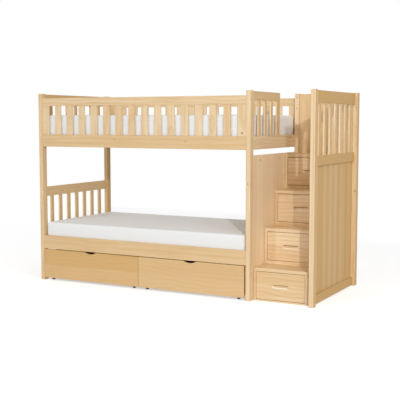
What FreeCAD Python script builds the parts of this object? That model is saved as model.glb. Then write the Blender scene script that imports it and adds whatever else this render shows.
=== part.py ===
"""Bunk bed with storage stairs: a twin-over-twin bed with a box staircase at its right end.

Millimetres. X runs along the bed towards the stairs, Y from the front to the back, Z up.
The origin is on the floor, under the middle of the whole bed.
"""
import FreeCAD, Part
import os
from types import SimpleNamespace

import Sketcher

Vector = FreeCAD.Vector

# The lengths of the bed, in millimetres. Each one can be changed by itself.
LENGTHS = {
    # the six posts
    "post_width": 38,
    "post_depth": 57,
    "post_height": 1614,
    "post_round": 3,
    # the plan of the bed
    "stair_bay": 478,
    "board_round": 2,
    # side rails along the bed, front and back
    "side_rail_thick": 18,
    "side_rail_reveal": 2,
    "upper_rail_level": 1162,
    "upper_rail_height": 104,
    "lower_rail_level": 277,
    "lower_rail_height": 115,
    # guards along the upper bed
    "guard_rail_drop": 38,
    "guard_rail_height": 67,
    "guard_stile_width": 70,
    "guard_slat_width": 60,
    "guard_slat_thick": 14,
    # end frames: the rails and slats across the bed
    "end_rail_thick": 18,
    "end_top_reveal": 4,
    "end_top_rail_height": 92,
    "end_slat_width": 42,
    "end_slat_thick": 14,
    "headboard_rail_level": 727,
    "headboard_rail_height": 82,
    "stair_mid_rail_lift": 4,
    "stair_mid_rail_height": 74,
    "kick_rail_level": 8,
    "kick_rail_height": 66,
    # the short guard beside the way in from the stairs
    "entry_guard_length": 565,
    "entry_rail_height": 66,
    "entry_stile_width": 62,
    "spare_hole_width": 8,
    "spare_hole_depth": 25,
    "spare_hole_top": 34,
    "spare_hole_middle": 126,
    "spare_hole_low": 279,
    # panels beside and behind the stairs
    "panel_thick": 18,
    "panel_foot": 8,
    "panel_gap": 42,
    "back_panel_thick": 15,
    "back_panel_reveal": 4,
    "back_panel_setback": 12,
    "panel_front_lap": 17,
    "batten_thick": 20,
    "batten_height": 78,
    "batten_drop": 2,
    # mattresses and what carries them
    "mattress_length": 1922,
    "mattress_width": 990,
    "mattress_thick": 190,
    "mattress_corner": 25,
    "mattress_edge": 12,
    "mattress_front_gap": 1,
    "mattress_back_gap": 15,
    "mattress_left_gap": 2,
    "mattress_right_gap": 6,
    "lower_slat_drop": 74,
    "upper_slat_drop": 24,
    "bed_slat_width": 70,
    "bed_slat_thick": 18,
    "bed_slat_inset": 40,
    "bed_slat_gap": 2,
    "cleat_width": 20,
    "cleat_height": 22,
    # the stairs: four boxes, each with a tread on top and a drawer in front
    "first_step_height": 257,
    "top_tread_drop": 11,
    "top_tread_depth": 312,
    "step_front": 62,
    "tread_thick": 26,
    "box_left_gap": 2,
    "box_right_gap": 10,
    "box_side_thick": 22,
    "box_rail_thick": 18,
    "box_rail_height": 29,
    "first_rail_height": 13,
    "runner_width": 20,
    # drawers of the stairs
    "drawer_front_gap": 3,
    "drawer_front_thick": 18,
    "drawer_front_inset": 1,
    "drawer_side_thick": 12,
    "drawer_side_gap": 3,
    "drawer_side_height": 150,
    "drawer_back_gap": 31,
    "drawer_base_thick": 6,
    "drawer_base_lift": 10,
    "running_gap": 0.3,
    "pull_length": 134,
    "pull_height": 24,
    "pull_reach": 9,
    # rolling boxes under the lower bed
    "rolling_left_gap": 3,
    "rolling_middle_gap": 3,
    "rolling_right_gap": 13,
    "rolling_front_level": 21,
    "rolling_top_gap": 5,
    "rolling_front_thick": 18,
    "rolling_back_gap": 144,
    "rolling_side_thick": 15,
    "rolling_side_inset": 12,
    "rolling_side_level": 32,
    "rolling_side_drop": 23,
    "rolling_base_thick": 10,
    "notch_length": 120,
    "notch_depth": 16,
    # wheels of the rolling boxes
    "wheel_diameter": 50,
    "wheel_width": 14,
    "wheel_round": 2,
    "wheel_inset": 62,
    "wheel_setback": 45,
    "wheel_top_gap": 7,
    "axle_diameter": 6,
    "axle_play": 0.1,
    "fork_gap": 2,
    "fork_thick": 3,
    "fork_depth": 34,
    "fork_drop": 6,
    # bolts that hold the side rails to the posts
    "bolt_diameter": 6,
    "bolt_play": 1,
    "bolt_head_diameter": 12,
    "bolt_head_height": 4,
    "bolt_head_sink": 5,
    "bolt_reach": 46,
    "bolt_end_gap": 3,
    "bolt_inset": 25,
    "nut_diameter": 10,
    "nut_length": 14,
    "nut_play": 0.3,
    "nut_bore_play": 0.1,
    "nut_setback": 36,
    # screws through the middle panel
    "screw_inset": 136,
    "screw_off_middle": 59,
    "screw_drop": 40,
    "screw_diameter": 4.4,
    "screw_length": 30,
    "screw_head_diameter": 12,
    "screw_head_height": 2.5,
    "screw_sink": 3,
    "screw_play": 0.4,
}
COUNTS = {
    "guard_slat_count": 14,
    "end_slat_count": 7,
    "entry_slat_count": 3,
    "bed_slat_count": 14,
    "step_count": 4,
}
ANGLES = {
    "pull_tilt": 35,
}
SHEET = {**LENGTHS, **COUNTS, **ANGLES}


class Size:
    """A length with its number and the expression that gives it from the sheet."""

    def __init__(self, number, text):
        self.number = number
        self.text = text

    @staticmethod
    def of(other):
        return other if isinstance(other, Size) else Size(other, str(other))

    def join(self, other, sign, number):
        return Size(number, f"({self.text} {sign} {Size.of(other).text})")

    def __add__(self, other):
        return self.join(other, "+", self.number + Size.of(other).number)

    def __sub__(self, other):
        return self.join(other, "-", self.number - Size.of(other).number)

    def __mul__(self, other):
        return self.join(other, "*", self.number * Size.of(other).number)

    def __truediv__(self, other):
        return self.join(other, "/", self.number / Size.of(other).number)

    def __radd__(self, other):
        return Size.of(other) + self

    def __rsub__(self, other):
        return Size.of(other) - self

    def __rmul__(self, other):
        return Size.of(other) * self

    def __neg__(self):
        return Size(0, "0") - self


doc = FreeCAD.newDocument("bunk_bed")
sheet = doc.addObject("Spreadsheet::Sheet", "Sizes")
for line, (name, number) in enumerate(SHEET.items(), start=1):
    sheet.set(f"A{line}", name)
    sheet.set(f"B{line}", str(number))
    sheet.setAlias(f"B{line}", name)
doc.recompute()

s = SimpleNamespace(**{name: Size(number, f"Sizes.{name}") for name, number in SHEET.items()})
zero = Size(0, "0")
subparts = []


# ---------------------------------------------------------------- helpers

def keep(item, label):
    """Name an object as a sub-part of the bed."""
    item.Label = label
    subparts.append(item)
    return item


def place(item, corner):
    """Bind an object's place to three lengths."""
    for axis, length in zip("xyz", corner):
        item.setExpression(f"Placement.Base.{axis}", length.text)
    return item


def origin_feature(body, role):
    """One of a body's own origin planes or axes."""
    return next(item for item in body.Origin.OriginFeatures if item.Role == role)


def sketch_on(body, role, name, offset=None):
    """A sketch on one of the body's origin planes, moved along its normal by an offset."""
    sketch = body.newObject("Sketcher::SketchObject", name)
    sketch.AttachmentSupport = [(origin_feature(body, role), "")]
    sketch.MapMode = "FlatFace"
    if offset is not None:
        sketch.setExpression("AttachmentOffset.Base.z", offset.text)
    return sketch


def dimension(sketch, kind, places, length):
    """Add one dimension to a sketch and bind it to a length."""
    index = sketch.addConstraint(Sketcher.Constraint(kind, *places, length.number))
    sketch.setExpression(f"Constraints[{index}]", length.text)


def rectangle(sketch, width, height):
    """A rectangle from the sketch's origin."""
    w, d = width.number, height.number
    corners = [Vector(0, 0), Vector(w, 0), Vector(w, d), Vector(0, d)]
    for index in range(4):
        sketch.addGeometry(Part.LineSegment(corners[index], corners[(index + 1) % 4]), False)
    for index in range(4):
        sketch.addConstraint(Sketcher.Constraint("Coincident", index, 2, (index + 1) % 4, 1))
    for index in (0, 2):
        sketch.addConstraint(Sketcher.Constraint("Horizontal", index))
        sketch.addConstraint(Sketcher.Constraint("Vertical", index + 1))
    sketch.addConstraint(Sketcher.Constraint("Coincident", 0, 1, -1, 1))
    dimension(sketch, "DistanceX", (0, 1, 0, 2), width)
    dimension(sketch, "DistanceY", (1, 1, 1, 2), height)


def circles(sketch, centres, diameter):
    """Circles of one diameter about points that are bound to lengths."""
    for across, up in centres:
        centre = Vector(across.number, up.number)
        index = sketch.addGeometry(Part.Circle(centre, Vector(0, 0, 1), diameter.number / 2), False)
        dimension(sketch, "DistanceX", (-1, 1, index, 3), across)
        dimension(sketch, "DistanceY", (-1, 1, index, 3), up)
        dimension(sketch, "Diameter", (index,), diameter)


def board(label, size, corner, rounding=s.board_round):
    """A sawn board with softened edges, one corner at the body's origin."""
    body = doc.addObject("PartDesign::Body", label)
    sketch = sketch_on(body, "XY_Plane", label + "_outline")
    rectangle(sketch, size[0], size[1])
    pad = body.newObject("PartDesign::Pad", label + "_pad")
    pad.Profile = sketch
    pad.setExpression("Length", size[2].text)
    doc.recompute()
    edges = body.newObject("PartDesign::Fillet", label + "_edges")
    edges.Base = (pad, [f"Edge{number}" for number in range(1, len(pad.Shape.Edges) + 1)])
    edges.setExpression("Radius", rounding.text)
    body.Tip = edges
    return place(body, corner)


def drill(body, role, name, centres, diameter, depth, offset=None, into_plus=True):
    """Holes from one of the body's origin planes, or from a plane beside it, into the wood."""
    doc.recompute()
    before = body.Shape.Volume
    sketch = sketch_on(body, role, name + "_centres", offset)
    circles(sketch, centres, diameter)
    hole = body.newObject("PartDesign::Pocket", name)
    hole.Profile = sketch
    hole.setExpression("Length", depth.text)
    # a pocket runs against its sketch's normal, which points to -Y on the XZ plane
    hole.Reversed = into_plus != (role == "XZ_Plane")
    body.Tip = hole
    doc.recompute()
    if body.Shape.Volume >= before:
        raise RuntimeError(name + " cuts nothing")


def row(body, role, name, count, pitch):
    """Repeat a whole board along one of its own axes, as separate boards."""
    doc.recompute()
    base = body.Tip
    body.AllowCompound = True
    pattern = body.newObject("PartDesign::LinearPattern", name)
    pattern.TransformMode = "Whole shape"
    pattern.Refine = False
    pattern.Direction = (origin_feature(body, role), [""])
    pattern.BaseFeature = base
    pattern.setExpression("Occurrences", count.text)
    pattern.Mode = "Spacing"
    pattern.setExpression("Offset", pitch.text)
    body.Tip = pattern
    return body


def group(label, items):
    """Several separate pieces of one kind, under one name."""
    bundle = doc.addObject("Part::Compound", label)
    bundle.Links = items
    return keep(bundle, label)


def block(label, size, corner):
    """A plain block, for cutting or as sheet metal."""
    item = doc.addObject("Part::Box", label)
    for side, length in zip(("Length", "Width", "Height"), size):
        item.setExpression(side, length.text)
    return place(item, corner)


def rod(label, diameter, length, start, axis):
    """A cylinder from a point along an axis."""
    item = doc.addObject("Part::Cylinder", label)
    item.setExpression("Radius", (diameter / 2).text)
    item.setExpression("Height", length.text)
    item.Placement.Rotation = FreeCAD.Rotation(Vector(0, 0, 1), axis)
    return place(item, start)


def fuse(label, items):
    """One piece from several that touch."""
    item = doc.addObject("Part::MultiFuse", label)
    item.Shapes = items
    item.Refine = True
    return item


def cut(label, base, tool):
    """A piece less a cutter."""
    item = doc.addObject("Part::Cut", label)
    item.Base = base
    item.Tool = tool
    return item


# ---------------------------------------------------------------- the plan

rail_inset = s.side_rail_reveal + s.side_rail_thick
bed_depth = 2 * rail_inset + s.mattress_front_gap + s.mattress_width + s.mattress_back_gap
bay_length = s.mattress_left_gap + s.mattress_length + s.mattress_right_gap
total_length = 3 * s.post_width + bay_length + s.stair_bay
left_face = -total_length / 2
bay_left = left_face + s.post_width
bay_right = bay_left + bay_length
stair_left = bay_right + s.post_width
stair_right = stair_left + s.stair_bay
front_face = -bed_depth / 2
back_face = bed_depth / 2
end_front = front_face + s.post_depth
end_back = back_face - s.post_depth
end_span = bed_depth - 2 * s.post_depth

upper_rail_top = s.upper_rail_level + s.upper_rail_height
lower_rail_top = s.lower_rail_level + s.lower_rail_height
end_top = s.post_height - s.end_top_reveal
end_top_rail_level = end_top - s.end_top_rail_height
guard_rail_level = s.post_height - s.guard_rail_drop - s.guard_rail_height
guard_centre = guard_rail_level + s.guard_rail_height / 2
panel_top = s.upper_rail_level - s.panel_gap
panel_height = panel_top - s.panel_foot

front_rail_y = front_face + s.side_rail_reveal
back_rail_y = back_face - s.side_rail_reveal - s.side_rail_thick
inner_front = front_rail_y + s.side_rail_thick

# heights of the bolts, from the floor
bolt_levels = [
    guard_centre,
    upper_rail_top - s.bolt_inset,
    s.upper_rail_level + s.bolt_inset,
    lower_rail_top - s.bolt_inset,
    s.lower_rail_level + s.bolt_inset,
]


# ---------------------------------------------------------------- posts

def post(label, x, at_front, bolts_from=None):
    """A post; the bolts' heads sit in its outer or stair-side face."""
    y = front_face if at_front else end_back
    body = board(label, (s.post_width, s.post_depth, s.post_height), (x, y, zero), s.post_round)
    if bolts_from:
        setback = s.side_rail_reveal + s.side_rail_thick / 2
        across = setback if at_front else s.post_depth - setback
        centres = [(across, level) for level in bolt_levels]
        from_left = bolts_from == "left"
        face = zero if from_left else s.post_width
        drill(body, "YZ_Plane", label + "_bolt_holes", centres, s.bolt_diameter + s.bolt_play,
              s.post_width, face, from_left)
        drill(body, "YZ_Plane", label + "_head_holes", centres, s.bolt_head_diameter + s.bolt_play,
              s.bolt_head_sink, face, from_left)
    return keep(body, label)


post("post_left_front", left_face, True, "left")
post("post_left_back", left_face, False, "left")
post("post_mid_front", bay_right, True, "right")
mid_back = post("post_mid_back", bay_right, False, "right")
post("post_right_front", stair_right, True)
post("post_right_back", stair_right, False)

# Spare holes, for hanging the short guard on the other side of the way in.
spare_levels = [s.post_height - drop for drop in (s.spare_hole_top, s.spare_hole_middle, s.spare_hole_low)]
drill(mid_back, "XZ_Plane", "spare_holes", [(s.post_width / 2, level) for level in spare_levels],
      s.spare_hole_width, s.spare_hole_depth)


# ---------------------------------------------------------------- end frames

end_gap = (end_span - s.end_slat_count * s.end_slat_width) / (s.end_slat_count + 1)
slat_setback = (s.end_rail_thick - s.end_slat_thick) / 2


def cross_rail(label, x, level, height, start=end_front, length=end_span):
    """A rail across the bed, between two posts of an end frame."""
    return board(label, (s.end_rail_thick, length, height), (x, start, level))


def cross_slats(label, x, level, top):
    """The upright slats between two rails of an end frame."""
    corner = (x + slat_setback, end_front + end_gap, level)
    body = board(label, (s.end_slat_thick, s.end_slat_width, top - level), corner)
    return keep(row(body, "Y_Axis", label + "_row", s.end_slat_count, s.end_slat_width + end_gap), label)


keep(cross_rail("left_end_top_rail", left_face, end_top_rail_level, s.end_top_rail_height),
     "left_end_top_rail")
cross_slats("left_end_upper_slats", left_face, upper_rail_top, end_top_rail_level)
group("left_end_cross_rails", [
    cross_rail("upper_cross_rail", left_face, s.upper_rail_level, s.upper_rail_height),
    cross_rail("lower_cross_rail", left_face, s.lower_rail_level, s.lower_rail_height),
])
keep(cross_rail("headboard_top_rail", left_face, s.headboard_rail_level, s.headboard_rail_height),
     "headboard_top_rail")
cross_slats("headboard_slats", left_face, lower_rail_top, s.headboard_rail_level)

stair_mid_rail_top = panel_top + s.stair_mid_rail_lift
stair_mid_rail_level = stair_mid_rail_top - s.stair_mid_rail_height
keep(cross_rail("right_end_top_rail", stair_right, end_top_rail_level, s.end_top_rail_height),
     "right_end_top_rail")
cross_slats("right_end_slats", stair_right, stair_mid_rail_top, end_top_rail_level)
keep(cross_rail("right_end_mid_rail", stair_right, stair_mid_rail_level, s.stair_mid_rail_height),
     "right_end_mid_rail")
keep(cross_rail("right_end_kick_rail", stair_right, s.kick_rail_level, s.kick_rail_height),
     "right_end_kick_rail")


# ---------------------------------------------------------------- side rails and guards

rail_size = (bay_length, s.side_rail_thick)
nut_depth = (s.side_rail_thick + s.nut_length) / 2


def side_rail(label, at_front, level, height, bolt_heights):
    """A rail along the bed, bored for its bolts and barrel nuts at both ends."""
    y = front_rail_y if at_front else back_rail_y
    body = board(label, (*rail_size, height), (bay_left, y, level))
    middle = s.side_rail_thick / 2
    ends = [(middle, up) for up in bolt_heights]
    bore = s.bolt_diameter + s.bolt_play
    depth = s.bolt_reach + s.bolt_end_gap
    drill(body, "YZ_Plane", label + "_left_bolts", ends, bore, depth)
    drill(body, "YZ_Plane", label + "_right_bolts", ends, bore, depth, bay_length, False)
    nuts = [(x, up) for x in (s.nut_setback, bay_length - s.nut_setback) for up in bolt_heights]
    # the XZ plane's normal is -Y, so the rail's back face is at minus its thickness
    offset = -s.side_rail_thick if at_front else zero
    drill(body, "XZ_Plane", label + "_nut_holes", nuts, s.nut_diameter + s.nut_play, nut_depth,
          offset, not at_front)
    return keep(body, label)


def guard_slats(label, at_front):
    """The upright slats of a guard with a wider stile at each end."""
    rail_y = front_rail_y if at_front else back_rail_y
    y = rail_y + (s.side_rail_thick - s.guard_slat_thick) / 2
    height = guard_rail_level - upper_rail_top
    inner = bay_length - 2 * s.guard_stile_width
    gap = (inner - s.guard_slat_count * s.guard_slat_width) / (s.guard_slat_count + 1)
    stile = (s.guard_stile_width, s.guard_slat_thick, height)
    right = bay_right - s.guard_stile_width
    slats = board(label + "_slat", (s.guard_slat_width, s.guard_slat_thick, height),
                  (bay_left + s.guard_stile_width + gap, y, upper_rail_top))
    return group(label, [
        board(label + "_left_stile", stile, (bay_left, y, upper_rail_top)),
        row(slats, "X_Axis", label + "_row", s.guard_slat_count, s.guard_slat_width + gap),
        board(label + "_right_stile", stile, (right, y, upper_rail_top)),
    ])


for side in ("front", "back"):
    at_front = side == "front"
    side_rail(side + "_guard_top_rail", at_front, guard_rail_level, s.guard_rail_height,
              [s.guard_rail_height / 2])
    guard_slats(side + "_guard_slats", at_front)
    side_rail("upper_" + side + "_side_rail", at_front, s.upper_rail_level, s.upper_rail_height,
              [s.bolt_inset, s.upper_rail_height - s.bolt_inset])
    side_rail("lower_" + side + "_side_rail", at_front, s.lower_rail_level, s.lower_rail_height,
              [s.bolt_inset, s.lower_rail_height - s.bolt_inset])


# ---------------------------------------------------------------- bed slats and mattresses

upper_slat_top = upper_rail_top - s.upper_slat_drop
lower_slat_top = lower_rail_top - s.lower_slat_drop
inner_width = back_rail_y - inner_front


def cleat(label, y, slat_top):
    """A ledge along the inside of a side rail, under the bed slats."""
    level = slat_top - s.bed_slat_thick - s.cleat_height
    return board(label, (bay_length, s.cleat_width, s.cleat_height), (bay_left, y, level))


group("ledger_cleats", [
    cleat("upper_front_cleat", inner_front, upper_slat_top),
    cleat("upper_back_cleat", back_rail_y - s.cleat_width, upper_slat_top),
    cleat("lower_front_cleat", inner_front, lower_slat_top),
    cleat("lower_back_cleat", back_rail_y - s.cleat_width, lower_slat_top),
])


def bed_slats(label, slat_top):
    """The slats across a bed, from cleat to cleat."""
    run = bay_length - 2 * s.bed_slat_inset - s.bed_slat_width
    size = (s.bed_slat_width, inner_width - 2 * s.bed_slat_gap, s.bed_slat_thick)
    corner = (bay_left + s.bed_slat_inset, inner_front + s.bed_slat_gap, slat_top - s.bed_slat_thick)
    body = board(label, size, corner)
    return keep(row(body, "X_Axis", label + "_row", s.bed_slat_count, run / (s.bed_slat_count - 1)), label)


bed_slats("upper_bed_slats", upper_slat_top)
bed_slats("lower_bed_slats", lower_slat_top)


def edges_by_direction(shape, upright):
    """The names of a slab's upright edges, or of its flat ones."""
    slopes = [abs(edge.tangentAt(edge.FirstParameter).z) for edge in shape.Edges]
    return [f"Edge{number}" for number, slope in enumerate(slopes, start=1) if round(slope) == upright]


def mattress(label, level):
    """A plain mattress: a slab with round corners and soft edges."""
    body = doc.addObject("PartDesign::Body", label)
    sketch = sketch_on(body, "XY_Plane", label + "_outline")
    rectangle(sketch, s.mattress_length, s.mattress_width)
    pad = body.newObject("PartDesign::Pad", label + "_pad")
    pad.Profile = sketch
    pad.setExpression("Length", s.mattress_thick.text)
    doc.recompute()
    corners = body.newObject("PartDesign::Fillet", label + "_corners")
    corners.Base = (pad, edges_by_direction(pad.Shape, True))
    corners.setExpression("Radius", s.mattress_corner.text)
    doc.recompute()
    edges = body.newObject("PartDesign::Fillet", label + "_edges")
    edges.Base = (corners, edges_by_direction(corners.Shape, False))
    edges.setExpression("Radius", s.mattress_edge.text)
    body.Tip = edges
    return keep(place(body, (bay_left + s.mattress_left_gap, inner_front + s.mattress_front_gap, level)), label)


mattress("upper_mattress", upper_slat_top)
mattress("lower_mattress", lower_slat_top)


# ---------------------------------------------------------------- middle frame, beside the stairs

panel_span = (s.panel_thick, end_span, panel_height)
panel_left = stair_left - s.panel_thick
mid_panel = board("mid_panel", panel_span, (panel_left, end_front, s.panel_foot))
batten = board("mid_panel_batten", (s.batten_thick, end_span, s.batten_height),
               (panel_left - s.batten_thick, end_front, panel_top - s.batten_drop - s.batten_height))

screw_up = panel_height - s.screw_drop
screw_places = [(across, screw_up) for across in
                (s.screw_inset, end_span / 2 + s.screw_off_middle, end_span - s.screw_inset)]
drill(mid_panel, "YZ_Plane", "screw_holes", screw_places, s.screw_diameter + s.screw_play,
      s.panel_thick, s.panel_thick, False)
drill(mid_panel, "YZ_Plane", "screw_heads", screw_places, s.screw_head_diameter + s.screw_play,
      s.screw_sink, s.panel_thick, False)
batten_up = s.batten_height + s.batten_drop - s.screw_drop
drill(batten, "YZ_Plane", "batten_holes", [(across, batten_up) for across, up in screw_places],
      s.screw_diameter + s.screw_play, s.screw_length - (s.panel_thick - s.screw_sink), s.batten_thick, False)
keep(mid_panel, "mid_panel")
keep(batten, "mid_panel_batten")

keep(cross_rail("mid_end_rail", bay_right, s.upper_rail_level, s.upper_rail_height), "mid_end_rail")

entry_rail_level = end_top - s.entry_rail_height
keep(cross_rail("entry_guard_rail", bay_right, entry_rail_level, s.entry_rail_height,
                end_front, s.entry_guard_length), "entry_guard_rail")

entry_inner = s.entry_guard_length - 2 * s.entry_stile_width
entry_gap = (entry_inner - s.entry_slat_count * s.end_slat_width) / (s.entry_slat_count + 1)
entry_height = entry_rail_level - upper_rail_top
entry_x = bay_right + slat_setback
entry_stile = (s.end_slat_thick, s.entry_stile_width, entry_height)
entry_end = end_front + s.entry_guard_length - s.entry_stile_width
entry_slat = board("entry_slat", (s.end_slat_thick, s.end_slat_width, entry_height),
                   (entry_x, end_front + s.entry_stile_width + entry_gap, upper_rail_top))
group("entry_guard_slats", [
    board("entry_front_stile", entry_stile, (entry_x, end_front, upper_rail_top)),
    row(entry_slat, "Y_Axis", "entry_slat_row", s.entry_slat_count, s.end_slat_width + entry_gap),
    board("entry_back_stile", entry_stile, (entry_x, entry_end, upper_rail_top)),
])


# ---------------------------------------------------------------- panels round the stairs

well_right = stair_right - s.panel_thick
panel_front = end_front - s.panel_front_lap
stairs_back = end_back + s.back_panel_setback
keep(board("right_end_panel", (s.panel_thick, stairs_back - panel_front, panel_height),
           (well_right, panel_front, s.panel_foot)), "right_end_panel")
keep(board("stair_back_panel",
           (s.stair_bay, s.back_panel_thick, s.post_height - s.back_panel_reveal - s.panel_foot),
           (stair_left, stairs_back, s.panel_foot)), "stair_back_panel")


# ---------------------------------------------------------------- stair boxes

box_left = stair_left + s.box_left_gap
box_right = well_right - s.box_right_gap
opening_left = box_left + s.box_side_thick
opening_right = box_right - s.box_side_thick

climbs = COUNTS["step_count"] - 1
step_rise = (panel_top - s.top_tread_drop - s.first_step_height) / climbs
step_going = (stairs_back - s.top_tread_depth - front_face - s.step_front) / climbs

treads = []
sides = []
rails = []
runners = []
steps = []
for number in range(COUNTS["step_count"]):
    base = s.first_step_height + step_rise * (number - 1) if number else zero
    top = s.first_step_height + step_rise * number
    y = front_face + s.step_front + step_going * number
    depth = stairs_back - y
    rail_height = s.box_rail_height if number else s.first_rail_height
    under = top - s.tread_thick
    name = f"step_{number + 1}"
    treads.append(board(name + "_tread", (box_right - box_left, depth, s.tread_thick),
                        (box_left, y, under)))
    side_size = (s.box_side_thick, depth, under - base)
    sides.append(board(name + "_left_side", side_size, (box_left, y, base)))
    sides.append(board(name + "_right_side", side_size, (opening_right, y, base)))
    rails.append(board(name + "_front_rail",
                       (opening_right - opening_left, s.box_rail_thick, rail_height),
                       (opening_left, y, base)))
    runner_size = (s.runner_width, depth - s.box_rail_thick, rail_height)
    runner_y = y + s.box_rail_thick
    runners.append(board(name + "_left_runner", runner_size, (opening_left, runner_y, base)))
    runners.append(board(name + "_right_runner", runner_size,
                         (opening_right - s.runner_width, runner_y, base)))
    steps.append(SimpleNamespace(y=y, floor=base + rail_height, under=under))

group("stair_treads", treads)
group("stair_side_boards", sides)
group("stair_front_rails", rails)
group("drawer_runners", runners)


# ---------------------------------------------------------------- stair drawers

def finger_pull(label, x, y, z):
    """The cutter of a finger pull: a round-ended slot that runs inwards and up."""
    straight = s.pull_length - s.pull_height
    reach = s.pull_reach + s.pull_height
    upright = Vector(0, 0, 1)
    middle = block(label + "_middle", (straight, s.pull_height, reach),
                   (-straight / 2, -s.pull_height / 2, -s.pull_height))
    left = rod(label + "_left_end", s.pull_height, reach, (-straight / 2, zero, -s.pull_height), upright)
    right = rod(label + "_right_end", s.pull_height, reach, (straight / 2, zero, -s.pull_height), upright)
    cutter = fuse(label, [middle, left, right])
    cutter.Placement.Rotation = FreeCAD.Rotation(Vector(1, 0, 0), ANGLES["pull_tilt"] - 90)
    return place(cutter, (x, y, z))


drawer_depth = s.top_tread_depth - s.drawer_front_inset - s.drawer_front_thick - s.drawer_back_gap


def drawer(number, step):
    """A stair drawer: its front with a finger pull, and the box behind it."""
    name = f"stair_drawer_{number}"
    gap = s.drawer_front_gap
    width = opening_right - opening_left - 2 * gap
    bottom = step.floor + gap
    top = step.under - gap
    front_y = step.y + s.drawer_front_inset
    blank = board(name + "_blank", (width, s.drawer_front_thick, top - bottom),
                  (opening_left + gap, front_y, bottom))
    centre_x = (opening_left + opening_right) / 2
    pull = finger_pull(name + "_pull", centre_x, front_y, (bottom + top) / 2)
    keep(cut(name + "_front", blank, pull), name + "_front")

    side_x = opening_left + s.drawer_side_gap
    back_x = opening_right - s.drawer_side_gap - s.drawer_side_thick
    box_y = front_y + s.drawer_front_thick
    level = step.floor + s.running_gap
    inside = back_x - side_x - s.drawer_side_thick
    side = (s.drawer_side_thick, drawer_depth, s.drawer_side_height)
    between = side_x + s.drawer_side_thick
    group(name + "_box", [
        board(name + "_left_side", side, (side_x, box_y, level)),
        board(name + "_right_side", side, (back_x, box_y, level)),
        board(name + "_back", (inside, s.drawer_side_thick, s.drawer_side_height),
              (between, box_y + drawer_depth - s.drawer_side_thick, level)),
        board(name + "_base", (inside, drawer_depth - s.drawer_side_thick, s.drawer_base_thick),
              (between, box_y, level + s.drawer_base_lift)),
    ])


for number, step in enumerate(steps, start=1):
    drawer(number, step)


# ---------------------------------------------------------------- rolling storage boxes

along_bed = Vector(1, 0, 0)
wheel_radius = s.wheel_diameter / 2
rolling_width = (bay_length - s.rolling_left_gap - s.rolling_middle_gap - s.rolling_right_gap) / 2
rolling_depth = back_rail_y - front_rail_y - s.rolling_back_gap
rolling_front_top = s.lower_rail_level - s.rolling_top_gap
rolling_front_height = rolling_front_top - s.rolling_front_level
rolling_side_height = rolling_front_top - s.rolling_side_drop - s.rolling_side_level
rolling_base_level = s.wheel_diameter + s.wheel_top_gap + s.fork_thick
notch_radius = (s.notch_length * s.notch_length / 4 + s.notch_depth * s.notch_depth) / (2 * s.notch_depth)


def wheel_corners(box_x, box_y):
    """The wheels' centres: (x, y) of the two at the front, then of the two at the back."""
    left = box_x + s.wheel_inset
    right = box_x + rolling_width - s.wheel_inset
    near = box_y + s.wheel_setback
    far = box_y + rolling_depth - s.wheel_setback
    return [(left, near), (right, near)], [(left, far), (right, far)]


def wheel_fork(label, x, y):
    """A steel fork under the box's base, and the axle pin pressed into it."""
    inner = s.wheel_width + 2 * s.fork_gap
    outer = inner + 2 * s.fork_thick
    foot = wheel_radius - s.fork_drop
    height = rolling_base_level - foot
    near = y - s.fork_depth / 2
    outside = block(label + "_outside", (outer, s.fork_depth, height), (x - outer / 2, near, foot))
    inside = block(label + "_inside", (inner, s.fork_depth, height - s.fork_thick),
                   (x - inner / 2, near, foot))
    start = (x - outer / 2, y, wheel_radius)
    bore = rod(label + "_bore", s.axle_diameter, outer, start, along_bed)
    pin = rod(label + "_pin", s.axle_diameter, outer, start, along_bed)
    return [cut(label, cut(label + "_bent", outside, inside), bore), pin]


def wheel(label, x, y):
    """A narrow wheel with a chamfered tread and a bore that runs on its pin."""
    start = (x - s.wheel_width / 2, y, wheel_radius)
    blank = rod(label + "_blank", s.wheel_diameter, s.wheel_width, start, along_bed)
    bore = rod(label + "_bore", s.axle_diameter + s.axle_play, s.wheel_width, start, along_bed)
    doc.recompute()
    tread = doc.addObject("Part::Chamfer", label + "_tread")
    tread.Base = blank
    bevel = LENGTHS["wheel_round"]
    tread.Edges = [(number, bevel, bevel) for number, edge in enumerate(blank.Shape.Edges, start=1)
                   if edge.Closed]
    return cut(label, tread, bore)


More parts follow.
